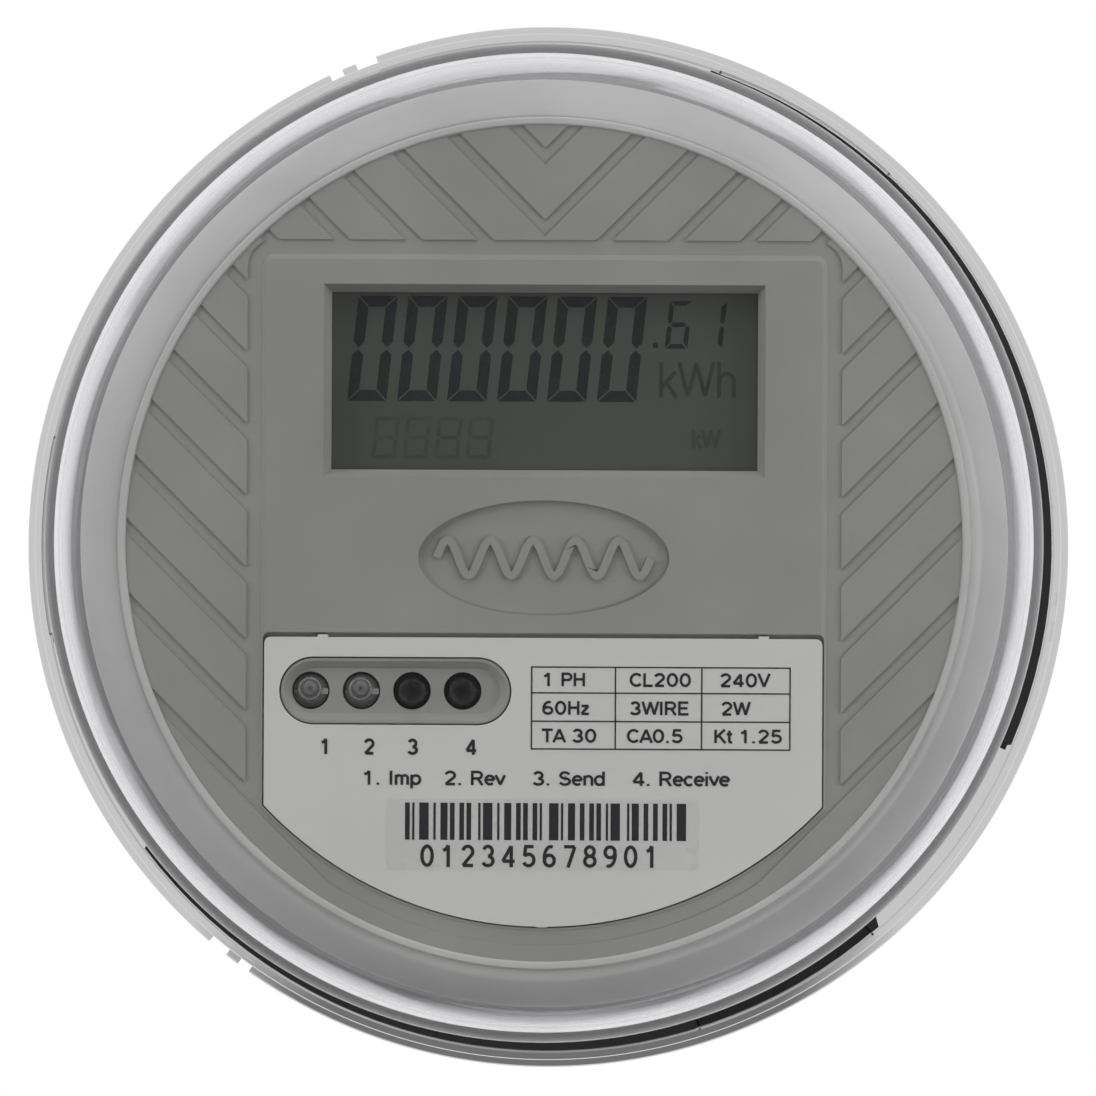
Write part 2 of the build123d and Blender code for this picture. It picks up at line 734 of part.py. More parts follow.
def nodes():
    """Every piece by its name."""
    pieces = {
        "base": base(),
        "cotter_pins": cotter_pins(),
        "gasket": gasket(),
        "cover": cover(),
        "housing_drum": housing_drum(),
        "housing_screws": housing_screws(),
        "faceplate": faceplate(),
        "nameplate": nameplate(),
        "lcd_panel": lcd_panel(),
        "lcd_holder": lcd_holder(),
        "lcd_backlight": lcd_backlight(),
        "zebra_strips": zebra_strips(),
        "led_holder": led_holder(),
        "display_board": display_board(),
        "display_chip": display_chip(),
        "crystal": crystal(),
        "battery": battery(),
        "battery_holder": battery_holder(),
        "main_board": main_board(),
        "board_spacers": board_spacers(),
        "board_screws": board_screws(),
        "film_capacitor": film_capacitor(),
        "varistor": varistor(),
        "electrolytic_caps": electrolytic_caps(),
        "metering_chip": metering_chip(),
        "board_header": board_header(),
        "board_socket": board_socket(),
        "current_strap": strap(-1),
        "neutral_strap": strap(1),
        "strap_screws": strap_screws(),
        "current_transformer": current_transformer(),
        "ct_cradle": ct_cradle(),
        "ct_leads": ct_leads(),
        "voltage_leads": voltage_leads(),
    }
    blade_names = ["line_blade_left", "line_blade_right", "load_blade_left", "load_blade_right"]
    for name, (side, end) in zip(blade_names, CORNERS):
        pieces[name] = Pos(side * BLADE_X, end * BLADE_Y, 0) * blade()
    for name, place in zip(["import_led", "reverse_led", "send_led", "receive_led"], led_places()):
        pieces[name] = led(place)
    return pieces


os.makedirs("parts", exist_ok=True)
for node, piece in nodes().items():
    export_step(Rot(90, 0, 0) * piece, f"parts/{node}.step")
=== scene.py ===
import math

import bmesh
import bpy
from mathutils import Matrix, Vector


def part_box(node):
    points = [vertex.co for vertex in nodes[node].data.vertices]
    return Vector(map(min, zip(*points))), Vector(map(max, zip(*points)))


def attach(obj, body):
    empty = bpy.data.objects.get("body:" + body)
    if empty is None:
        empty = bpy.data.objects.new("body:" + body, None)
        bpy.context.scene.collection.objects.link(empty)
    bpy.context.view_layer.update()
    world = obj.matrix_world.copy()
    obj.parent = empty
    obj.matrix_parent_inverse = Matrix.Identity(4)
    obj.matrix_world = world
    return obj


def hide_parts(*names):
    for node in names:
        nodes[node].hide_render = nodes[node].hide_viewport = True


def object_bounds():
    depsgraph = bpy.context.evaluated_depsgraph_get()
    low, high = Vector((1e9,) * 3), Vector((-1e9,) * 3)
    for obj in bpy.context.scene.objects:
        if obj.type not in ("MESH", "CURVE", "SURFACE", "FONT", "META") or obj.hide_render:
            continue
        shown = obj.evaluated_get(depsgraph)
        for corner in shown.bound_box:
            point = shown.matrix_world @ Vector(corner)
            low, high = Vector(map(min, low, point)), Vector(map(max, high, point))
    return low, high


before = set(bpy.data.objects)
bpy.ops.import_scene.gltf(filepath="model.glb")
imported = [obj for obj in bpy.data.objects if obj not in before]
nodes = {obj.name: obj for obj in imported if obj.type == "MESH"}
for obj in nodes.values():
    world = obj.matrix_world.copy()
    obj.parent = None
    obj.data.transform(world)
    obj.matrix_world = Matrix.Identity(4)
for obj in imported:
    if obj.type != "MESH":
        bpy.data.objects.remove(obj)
cad_low, cad_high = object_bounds()

# Lengths below are millimetres in the meter's own terms: across, up, and depth towards the viewer,
# counted from the seating plane. In the frame, depth runs along -Y.
MM = 0.001

# Locking ring and clear cover, as in the CAD model. Angles are in degrees, counter-clockwise from the
# right as seen from the front. A lug or a window is centred TURN short of the middle of each gap.
TURN = 25.2
GAP_CENTRES = (84.2, 204.2, 324.2)
LUG_WIDTH = 22.4
LUG_INNER = 83.3
LUG_ROOT = 0.5
LUG_DEPTHS = (0.5, 2.2)
WINDOW_WIDTH = 22.8
WINDOW_INNER = 83.1
WINDOW_DRAFT = 0.35
COVER_WALL = 2.6
DOME_APEX = 77.0
DOME_DROP = 2.0
DOME_EDGE = 78.85
SHOULDER = 6.5
WALL_FOOT = 81.2
FLANGE_FRONT = 7.2
FLANGE_BACK = 5.3
SKIRT_OUTER = 86.6
SKIRT_INNER = 85.45
LIP_RADIUS = 88.15
LIP_DEPTHS = (0.4, 2.6)

# Each pair of notches in the lip starts at an angle, and is cut down to a depth. Each notch of a pair
# has its shift from that start and its width.
NOTCH_STARTS = {109.6: -1.0, 229.6: -1.0, 349.6: 2.0}
NOTCH_CUTS = ((0.0, 2.4), (4.0, 1.5))
NOTCH_FLOOR = 86.1
NOTCH_OUTER = LIP_RADIUS + 2.0
NOTCH_TOP = 3.4

# Radius from which the cover counts as wall, and how far a cut for a window runs past the flange
WALL_FROM = 73.0
CUT_PAST = 0.3

# How finely round shapes are divided, and the least angle of an edge that stays sharp
DOME_STEPS = 12
LATHE_STEPS = 480
SHARP = math.radians(30)

# Half the thickness of the nameplate's print and of the display's marks
PRINT_HALF = 0.01
MARK_HALF = 0.005

# How far each stroke of a character lies above the one before, so that no two faces coincide
STROKE_LIFT = 0.002


def at(x, y, depth):
    """A point of the meter in the frame, in metres."""
    return Vector((x, -depth, y)) * MM


def node_front(name):
    """Depth of a CAD node's front, in millimetres."""
    return -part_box(name)[0].y / MM


def node_middle(name):
    """Across and up of a CAD node's middle, in millimetres."""
    low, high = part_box(name)
    return (low.x + high.x) / 2 / MM, (low.z + high.z) / 2 / MM


# Mesh helpers


def new_object(name, mesh):
    """An object with this mesh in the scene."""
    thing = bpy.data.objects.new(name, mesh)
    bpy.context.scene.collection.objects.link(thing)
    return thing


def smooth(mesh):
    """Shades a mesh smooth except at its sharp edges."""
    mesh.shade_smooth()
    mesh.set_sharp_from_angle(angle=SHARP)


def finished(name, shape):
    """The bmesh as an object, smooth except at its sharp edges."""
    bmesh.ops.recalc_face_normals(shape, faces=shape.faces)
    mesh = bpy.data.meshes.new(name)
    shape.to_mesh(mesh)
    shape.free()
    smooth(mesh)
    return new_object(name, mesh)


def add_lathe(shape, outline, steps=LATHE_STEPS, centre=(0.0, 0.0)):
    """Turns a closed outline of (radius, depth) about an axis along the depth."""
    rings = []
    for radius, depth in outline:
        if radius < 1e-6:
            rings.append([shape.verts.new(at(*centre, depth))])
            continue
        ring = []
        for step in range(steps):
            angle = 2 * math.pi * step / steps
            across = centre[0] + radius * math.cos(angle)
            ring.append(shape.verts.new(at(across, centre[1] + radius * math.sin(angle), depth)))
        rings.append(ring)
    for one, two in zip(rings, rings[1:] + rings[:1]):
        if len(one) == 1 and len(two) == 1:
            continue
        for step in range(steps):
            after = (step + 1) % steps
            corners = [ring[side % len(ring)] for ring, side in
                       ((one, step), (one, after), (two, after), (two, step))]
            shape.faces.new(list(dict.fromkeys(corners)))


def add_sector(shape, inner, outer, start, sweep, low, high, draft=0.0):
    """A block of a ring between two radii, two angles and two depths; draft narrows its low end."""
    steps = max(2, round(sweep))
    columns = []
    for step in range(steps + 1):
        share = step / steps
        corners = []
        for radius, depth in ((inner, low), (outer, low), (outer, high), (inner, high)):
            shift = draft * (1 - 2 * share) if depth == low else 0.0
            angle = math.radians(start + sweep * share + shift)
            corners.append((radius * math.cos(angle), radius * math.sin(angle), depth))
        columns.append([shape.verts.new(at(*corner)) for corner in corners])
    for one, two in zip(columns, columns[1:]):
        for side in range(4):
            after = (side + 1) % 4
            shape.faces.new([one[side], one[after], two[after], two[side]])
    shape.faces.new(columns[0])
    shape.faces.new(columns[-1][::-1])


def add_slab(shape, outline, low, high):
    """A flat closed outline of (across, up) given thickness between two depths."""
    back = [shape.verts.new(at(x, y, low)) for x, y in outline]
    front = [shape.verts.new(at(x, y, high)) for x, y in outline]
    shape.faces.new(back)
    shape.faces.new(front[::-1])
    for number in range(len(outline)):
        after = (number + 1) % len(outline)
        shape.faces.new([back[number], back[after], front[after], front[number]])


def add_mark(shape, outline, depth, half):
    """A flat outline with half its thickness on each side of a depth."""
    add_slab(shape, outline, depth - half, depth + half)


def rectangle(x0, y0, x1, y1):
    """Corners of an upright rectangle."""
    return [(x0, y0), (x1, y0), (x1, y1), (x0, y1)]


def block_outline(x, y, half_x, half_y):
    """Corners of a rectangle round its middle."""
    return rectangle(x - half_x, y - half_y, x + half_x, y + half_y)


def eased(points, steps=10):
    """Points of a closed outline, with (x, y, radius) corners turned into arcs."""
    outline = []
    for number, point in enumerate(points):
        here = Vector(point[:2])
        radius = point[2] if len(point) > 2 else 0.0
        if radius == 0.0:
            outline.append(tuple(here))
            continue
        before = (Vector(points[number - 1][:2]) - here).normalized()
        after = (Vector(points[(number + 1) % len(points)][:2]) - here).normalized()
        half = before.angle(after) / 2
        centre = here + (before + after).normalized() * (radius / math.sin(half))
        first = here + before * (radius / math.tan(half)) - centre
        last = here + after * (radius / math.tan(half)) - centre
        turn = first.angle_signed(last)
        for step in range(steps + 1):
            spoke = first.copy()
            spoke.rotate(Matrix.Rotation(-turn * step / steps, 2))
            outline.append(tuple(centre + spoke))
    return outline


def carve(target, shape, operation):
    """Adds the bmesh to the target, or cuts it away, and keeps the result as the target's mesh."""
    bmesh.ops.recalc_face_normals(shape, faces=shape.faces)
    mesh = bpy.data.meshes.new("tool")
    shape.to_mesh(mesh)
    shape.free()
    tool = new_object("tool", mesh)
    change = target.modifiers.new("carve", "BOOLEAN")
    change.solver = "EXACT"
    change.operation = operation
    change.object = tool
    graph = bpy.context.evaluated_depsgraph_get()
    result = bpy.data.meshes.new_from_object(target.evaluated_get(graph))
    target.modifiers.clear()
    target.data = result
    bpy.data.objects.remove(tool)


# Material helpers

# Where a noise texture's values mostly lie
NOISE_LOW = 0.3
NOISE_HIGH = 0.7


def shader(name):
    """A new material, its node tree and its Principled node."""
    material = bpy.data.materials.new(name)
    material.use_nodes = True
    tree = material.node_tree
    return material, tree, tree.nodes["Principled BSDF"]


def noise(tree, scale, detail=3.0, stretch=(1.0, 1.0, 1.0)):
    """Noise in the piece's own space; scale is in cycles per metre."""
    place = tree.nodes.new("ShaderNodeTexCoord")
    mapping = tree.nodes.new("ShaderNodeMapping")
    mapping.inputs["Scale"].default_value = stretch
    texture = tree.nodes.new("ShaderNodeTexNoise")
    texture.inputs["Scale"].default_value = scale
    texture.inputs["Detail"].default_value = detail
    tree.links.new(place.outputs["Object"], mapping.inputs["Vector"])
    tree.links.new(mapping.outputs["Vector"], texture.inputs["Vector"])
    return texture.outputs["Fac"]


def ramp(tree, source, low, high, first=NOISE_LOW, last=NOISE_HIGH):
    """Source from first to last, mapped onto two colours."""
    node = tree.nodes.new("ShaderNodeValToRGB")
    node.color_ramp.elements[0].position = first
    node.color_ramp.elements[1].position = last
    node.color_ramp.elements[0].color = (*low, 1)
    node.color_ramp.elements[1].color = (*high, 1)
    tree.links.new(source, node.inputs["Fac"])
    return node.outputs["Color"]


def spread(tree, source, low, high):
    """Noise mapped onto two numbers."""
    node = tree.nodes.new("ShaderNodeMapRange")
    node.inputs["From Min"].default_value = NOISE_LOW
    node.inputs["From Max"].default_value = NOISE_HIGH
    node.inputs["To Min"].default_value = low
    node.inputs["To Max"].default_value = high
    tree.links.new(source, node.inputs["Value"])
    return node.outputs["Result"]


def bump(tree, source, strength, distance):
    """Normal from a height; distance is in metres."""
    node = tree.nodes.new("ShaderNodeBump")
    node.inputs["Strength"].default_value = strength
    node.inputs["Distance"].default_value = distance
    tree.links.new(source, node.inputs["Height"])
    return node.outputs["Normal"]


def shade(colour, factor):
    """The colour made darker or lighter."""
    return tuple(channel * factor for channel in colour)


def plastic(name, colour, roughness=0.45, mottle=0.06, grain=2500.0, depth=0.00002):
    """Moulded plastic: slightly uneven colour and gloss, and a fine grain."""
    material, tree, surface = shader(name)
    cloud = noise(tree, 45.0)
    tree.links.new(ramp(tree, cloud, shade(colour, 1 - mottle), shade(colour, 1 + mottle)),
                   surface.inputs["Base Color"])
    tree.links.new(spread(tree, noise(tree, 300.0), roughness - 0.05, roughness + 0.05),
                   surface.inputs["Roughness"])
    tree.links.new(bump(tree, noise(tree, grain), 0.35, depth), surface.inputs["Normal"])
    return material


def metal(name, colour, roughness=0.3, stretch=(1.0, 12.0, 1.0), tarnish=0.12):
    """Worked metal with brush marks and a little tarnish."""
    material, tree, surface = shader(name)
    surface.inputs["Metallic"].default_value = 1.0
    tree.links.new(ramp(tree, noise(tree, 120.0), shade(colour, 1 - tarnish), colour),
                   surface.inputs["Base Color"])
    marks = noise(tree, 1800.0, stretch=stretch)
    tree.links.new(spread(tree, marks, roughness - 0.08, roughness + 0.08), surface.inputs["Roughness"])
    tree.links.new(bump(tree, marks, 0.2, 0.00001), surface.inputs["Normal"])
    return material


def clear(name, tint, ior, haze=0.02, milk=0.0, waves=0.0):
    """Clear plastic that lets lamp light through.

    Milk is the share of light it scatters instead, and waves is how uneven its surface is, in metres.
    """
    material, tree, surface = shader(name)
    surface.inputs["Base Color"].default_value = (*tint, 1)
    surface.inputs["Transmission Weight"].default_value = 1.0 - milk
    surface.inputs["IOR"].default_value = ior
    tree.links.new(spread(tree, noise(tree, 60.0), 0.0, haze), surface.inputs["Roughness"])
    if waves:
        tree.links.new(bump(tree, noise(tree, 28.0, detail=1.0), 1.0, waves), surface.inputs["Normal"])
    path = tree.nodes.new("ShaderNodeLightPath")
    open_side = tree.nodes.new("ShaderNodeBsdfTransparent")
    open_side.inputs["Color"].default_value = (*tint, 1)
    mix = tree.nodes.new("ShaderNodeMixShader")
    tree.links.new(path.outputs["Is Shadow Ray"], mix.inputs[0])
    tree.links.new(surface.outputs[0], mix.inputs[1])
    tree.links.new(open_side.outputs[0], mix.inputs[2])
    tree.links.new(mix.outputs[0], tree.nodes["Material Output"].inputs["Surface"])
    return material


def board_material():
    """Green solder mask over copper tracks."""
    material, tree, surface = shader("board_mask")
    place = tree.nodes.new("ShaderNodeTexCoord")
    brick = tree.nodes.new("ShaderNodeTexBrick")
    brick.inputs["Scale"].default_value = 160.0
    brick.inputs["Color1"].default_value = (0.012, 0.11, 0.045, 1)
    brick.inputs["Color2"].default_value = (0.016, 0.13, 0.055, 1)
    brick.inputs["Mortar"].default_value = (0.03, 0.22, 0.09, 1)
    brick.inputs["Mortar Size"].default_value = 0.04
    tilt = tree.nodes.new("ShaderNodeMapping")
    tilt.inputs["Rotation"].default_value = (math.radians(90), 0, 0)
    tree.links.new(place.outputs["Object"], tilt.inputs["Vector"])
    tree.links.new(tilt.outputs["Vector"], brick.inputs["Vector"])
    tree.links.new(brick.outputs["Color"], surface.inputs["Base Color"])
    tree.links.new(spread(tree, noise(tree, 200.0), 0.25, 0.35), surface.inputs["Roughness"])
    tree.links.new(bump(tree, brick.outputs["Fac"], 0.3, 0.00003), surface.inputs["Normal"])
    return material


GREY = (0.20, 0.202, 0.192)
LIGHT_GREY = (0.43, 0.432, 0.425)

grey_plastic = plastic("grey_plastic", GREY)
black_plastic = plastic("black_plastic", (0.012, 0.012, 0.013), roughness=0.4)
inner_black = plastic("inner_black_plastic", (0.02, 0.02, 0.02), roughness=0.5)
white_plastic = plastic("white_plastic", (0.75, 0.76, 0.73), roughness=0.35)
rubber = plastic("seal_rubber", (0.30, 0.31, 0.34), roughness=0.7, grain=1200.0)
# Painted light: the drum is the faceplate's grey plastic, given a lighter colour that stands in for the
# light its side-facing flare and foot catch.
drum_grey_painted_light = plastic("drum_grey_painted_light", (0.34, 0.34, 0.335), mottle=0.06)
strip_rubber = plastic("strip_rubber", (0.3, 0.25, 0.2), roughness=0.7, grain=4000.0)
laminate = plastic("plate_laminate", LIGHT_GREY, roughness=0.38, mottle=0.025, grain=4500.0, depth=0.000008)
sticker_film = plastic("sticker_film", shade(LIGHT_GREY, 0.92), roughness=0.3, mottle=0.03, depth=0.000004)
ink = plastic("print_ink", (0.012, 0.012, 0.014), roughness=0.5, grain=5000.0, depth=0.000005)
clear_cover = clear("clear_polycarbonate", (0.975, 0.975, 0.97), 1.585)
clear_wall = clear("clear_wall", (0.95, 0.95, 0.965), 1.585, milk=0.022, waves=0.0006)
clear_resin = clear("clear_resin", (0.85, 0.85, 0.85), 1.54, haze=0.1, milk=0.04)
smoked_resin = clear("smoked_resin", (0.03, 0.03, 0.033), 1.54)
dark_resin = plastic("dark_resin", (0.004, 0.004, 0.006), roughness=0.08, grain=600.0, depth=0.000002)
tinned = metal("tinned_blade", (0.72, 0.71, 0.68), roughness=0.32)
copper = metal("copper_strip", (0.8, 0.42, 0.26), roughness=0.3)
zinc = metal("zinc_plate", (0.66, 0.66, 0.63), roughness=0.28)
aluminium = metal("drawn_can", (0.82, 0.82, 0.83), roughness=0.22)
core = plastic("taped_core", (0.02, 0.05, 0.2), roughness=0.4, grain=900.0)
yellow_case = plastic("capacitor_case", (0.6, 0.42, 0.04), roughness=0.3)
blue_dip = plastic("varistor_dip", (0.02, 0.09, 0.35), roughness=0.25)
red_sleeve = plastic("wire_sleeve", (0.42, 0.02, 0.015), roughness=0.3)
board_green = board_material()


def display_glass():
    """Reflective display seen through its polariser: dark green-grey, a little cloudy at random."""
    material, tree, surface = shader("display_glass")
    cloud = noise(tree, 30.0)
    tree.links.new(ramp(tree, cloud, (0.042, 0.046, 0.04), (0.051, 0.055, 0.048)),
                   surface.inputs["Base Color"])
    tree.links.new(spread(tree, noise(tree, 250.0), 0.1, 0.16), surface.inputs["Roughness"])
    surface.inputs["Coat Weight"].default_value = 0.5
    surface.inputs["Coat Roughness"].default_value = 0.05
    return material


def segment_material(name, colour):
    """A switched-on part of the display, a little uneven."""
    material, tree, surface = shader(name)
    tree.links.new(ramp(tree, noise(tree, 400.0), shade(colour, 0.85), shade(colour, 1.15)),
                   surface.inputs["Base Color"])
    tree.links.new(spread(tree, noise(tree, 250.0), 0.12, 0.2), surface.inputs["Roughness"])
    return material


display = display_glass()
segment_dark = segment_material("segment_dark", (0.012, 0.0135, 0.0145))
segment_mid = segment_material("segment_mid", (0.026, 0.029, 0.026))
segment_ghost = segment_material("segment_ghost", (0.035, 0.038, 0.033))

NODE_MATERIALS = {
    "base": black_plastic, "cotter_pins": zinc, "gasket": rubber, "cover": clear_cover,
    "housing_drum": grey_plastic, "housing_screws": zinc, "faceplate": grey_plastic,
    "nameplate": laminate, "lcd_panel": display, "lcd_holder": inner_black, "lcd_backlight": white_plastic,
    "zebra_strips": strip_rubber, "led_holder": inner_black, "display_board": board_green,
    "display_chip": inner_black, "crystal": aluminium, "battery": zinc, "battery_holder": inner_black,
    "main_board": board_green, "board_spacers": zinc, "board_screws": zinc, "film_capacitor": yellow_case,
    "varistor": blue_dip, "electrolytic_caps": aluminium, "metering_chip": inner_black,
    "board_header": inner_black, "board_socket": inner_black, "current_strap": copper,
    "neutral_strap": copper, "strap_screws": zinc, "current_transformer": core, "ct_cradle": inner_black,
    "ct_leads": red_sleeve, "voltage_leads": red_sleeve, "line_blade_left": tinned,
    "line_blade_right": tinned, "load_blade_left": tinned, "load_blade_right": tinned,
    "import_led": clear_resin, "reverse_led": clear_resin, "send_led": dark_resin,
    "receive_led": dark_resin,
}
EDGE_RADIUS = {"faceplate": 0.16, "nameplate": 0.08, "base": 0.2}


def soften(thing, radius):
    """Welds a CAD node's faces, rounds its edges slightly and shades it smooth."""
    weld = thing.modifiers.new("weld", "WELD")
    weld.merge_threshold = 0.001 * MM
    bevel = thing.modifiers.new("edges", "BEVEL")
    bevel.limit_method = "ANGLE"
    bevel.angle_limit = SHARP
    bevel.width = radius * MM
    bevel.segments = 2
    bevel.harden_normals = True


for name, thing in nodes.items():
    thing.data.materials.clear()
    thing.data.materials.append(NODE_MATERIALS[name])
    if name in EDGE_RADIUS:
        soften(thing, EDGE_RADIUS[name])


# Clear cover


def dome_points(apex, edge, drop, reach):
    """Points of a dome's section from its axis out to a radius."""
    curve = (edge**2 + drop**2) / (2 * drop)
    radii = [reach * step / DOME_STEPS for step in range(DOME_STEPS + 1)]
    return [(radius, apex - curve + math.sqrt(curve**2 - radius**2)) for radius in radii]


def cover_outline():
    """Section of the dome, wall, flange, skirt and lip."""
    reach = DOME_EDGE - SHOULDER - COVER_WALL
    outer_corner = (DOME_EDGE, DOME_APEX - DOME_DROP, SHOULDER)
    inner_corner = (DOME_EDGE - COVER_WALL, DOME_APEX - DOME_DROP - COVER_WALL, SHOULDER - COVER_WALL)
    outer = dome_points(DOME_APEX, DOME_EDGE, DOME_DROP, reach)
    inner = dome_points(DOME_APEX - COVER_WALL, DOME_EDGE - COVER_WALL, DOME_DROP, reach)
    walls = [
        outer_corner,
        (WALL_FOOT, FLANGE_FRONT, 1.0),
        (SKIRT_OUTER, FLANGE_FRONT, 0.2),
        (SKIRT_OUTER, LIP_DEPTHS[1]),
        (LIP_RADIUS, LIP_DEPTHS[1], 0.3),
        (LIP_RADIUS, LIP_DEPTHS[0]),
        (SKIRT_INNER, LIP_DEPTHS[0]),
        (SKIRT_INNER, FLANGE_BACK),
        (WALL_FOOT - COVER_WALL, FLANGE_BACK),
        inner_corner,
    ]
    return eased(outer + walls + inner[::-1])


def build_cover():
    """The turned cover with its lugs, windows and notches, and a cloudier material on its wall."""
    shape = bmesh.new()
    add_lathe(shape, cover_outline())
    cover = finished("cover_shell", shape)
    lugs = bmesh.new()
    holes = bmesh.new()
    through = (FLANGE_BACK - CUT_PAST, FLANGE_FRONT + CUT_PAST)
    for gap in GAP_CENTRES:
        middle = gap - TURN
        add_sector(lugs, LUG_INNER, SKIRT_INNER + LUG_ROOT, middle - LUG_WIDTH / 2, LUG_WIDTH, *LUG_DEPTHS)
        start = middle - WINDOW_WIDTH / 2
        add_sector(holes, WINDOW_INNER, SKIRT_INNER, start, WINDOW_WIDTH, *through, WINDOW_DRAFT)
    for start, low in NOTCH_STARTS.items():
        for offset, width in NOTCH_CUTS:
            add_sector(holes, NOTCH_FLOOR, NOTCH_OUTER, start + offset, width, low, NOTCH_TOP)
    carve(cover, lugs, "UNION")
    carve(cover, holes, "DIFFERENCE")
    smooth(cover.data)
    cover.data.materials.clear()
    cover.data.materials.append(clear_cover)
    cover.data.materials.append(clear_wall)
    for face in cover.data.polygons:
        radius = math.hypot(face.center.x, face.center.z) / MM
        face.material_index = int(radius > WALL_FROM and -face.center.y / MM > FLANGE_FRONT)
    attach(cover, "cover_body")
    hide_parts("cover")


build_cover()


# Drum: its section as (radius, depth), with the radius of any eased corner

DRUM_FOOT = [(78.2, 4.6), (78.2, 6.2, 0.4), (75.6, 6.2)]
DRUM_WALL = [(75.4, 27.0), (75.2, 50.0), (75.02, 53.0)]
DRUM_CURVE = [(74.4, 56.2), (73.4, 58.9), (71.9, 61.4), (70.2, 63.1), (68.7, 63.9)]
DRUM_RIDGE = [(67.75, 63.9), (67.75, 64.7, 0.4), (66.43, 64.7, 0.4)]
DRUM_LEDGE = [(66.43, 61.0), (64.0, 61.0), (64.0, 59.4)]
DRUM_INSIDE = [(69.2, 59.4), (71.6, 55.6), (73.0, 49.5), (73.4, 4.6)]


def build_drum():
    """The drum as one smooth turned shell, with the ridge round its mouth."""
    outside = DRUM_FOOT + DRUM_WALL + DRUM_CURVE + DRUM_RIDGE
    shape = bmesh.new()
    add_lathe(shape, eased(outside + DRUM_LEDGE + DRUM_INSIDE))
    drum = finished("drum_shell", shape)
    # The drum's lighter colour is painted light.
    drum.data.materials.append(drum_grey_painted_light)
    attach(drum, "meter_body")
    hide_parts("housing_drum")


build_drum()


# LEDs: a domed lens round a reflector cup on its lead frame. Sections are (radius, depth), and the anvil
# and the post are given by their middle from the lens's axis and their half sizes.

LED_NODES = {"import_led": "clear", "reverse_led": "clear", "send_led": "dark", "receive_led": "dark"}
LENS_SECTION = [(0.0, 58.8), (2.9, 58.8), (2.9, 59.7), (2.75, 59.8), (2.75, 62.0)]
LENS_CROWN = 2.2
CROWN_STEPS = 16
LENS_STEPS = 96
CUP_SECTION = [(0.0, 60.0), (1.25, 60.0), (1.3, 61.5), (1.12, 61.5), (0.6, 60.7), (0.0, 60.7)]
CUP_SHIFT = (-0.15, 0.2)
CUP_STEPS = 48
CHIP_HALF = 0.2
CHIP_DEPTHS = (60.65, 60.85)
ANVIL = (-0.5, 0.0, 1.0, 0.3)
ANVIL_DEPTHS = (59.2, 60.1)
POST = (1.45, -0.1, 0.35, 0.3)
POST_DEPTHS = (59.2, 61.2)
LEG_OUT = 1.27
LEG_HALF = 0.25
LEG_DEPTHS = (51.0, 59.3)


def build_lens(name, x, y, material):
    """The resin body: a flange, a straight side and a full crown."""
    radius, foot = LENS_SECTION[-1]
    turns = [math.radians(90 * step / CROWN_STEPS) for step in range(1, CROWN_STEPS)]
    crown = [(radius * math.cos(turn), foot + LENS_CROWN * math.sin(turn)) for turn in turns]
    shape = bmesh.new()
    add_lathe(shape, LENS_SECTION + crown + [(0.0, foot + LENS_CROWN)], LENS_STEPS, (x, y))
    lens = finished(name + "_lens", shape)
    lens.data.materials.append(material)
    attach(lens, "meter_body")
    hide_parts(name)


def build_lead_frame(name, x, y):
    """Reflector cup on its anvil, the post beside it, the chip, and two legs through the board."""
    cup = (x + CUP_SHIFT[0], y + CUP_SHIFT[1])
    shape = bmesh.new()
    add_lathe(shape, CUP_SECTION, CUP_STEPS, cup)
    for (across, up, *halves), depths in ((ANVIL, ANVIL_DEPTHS), (POST, POST_DEPTHS)):
        add_slab(shape, block_outline(x + across, y + up, *halves), *depths)
    for side in (-1, 1):
        add_slab(shape, block_outline(x + side * LEG_OUT, y, LEG_HALF, LEG_HALF), *LEG_DEPTHS)
    leads = finished(name + "_leads", shape)
    leads.data.materials.append(aluminium)
    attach(leads, "meter_body")
    chip = bmesh.new()
    add_slab(chip, block_outline(*cup, CHIP_HALF, CHIP_HALF), *CHIP_DEPTHS)
    die = finished(name + "_chip", chip)
    die.data.materials.append(dark_resin)
    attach(die, "meter_body")


for led_name, resin in LED_NODES.items():
    middle = node_middle(led_name)
    build_lens(led_name, *middle, clear_resin if resin == "clear" else smoked_resin)
    build_lead_frame(led_name, *middle)


# Lettering, bars and table on the nameplate


def bow(x, y, across, up, first, last, steps=14):
    """Points along part of an oval, from one angle to another in degrees."""
    angles = [math.radians(first + (last - first) * step / steps) for step in range(steps + 1)]
    return [(x + across * math.cos(angle), y + up * math.sin(angle)) for angle in angles]


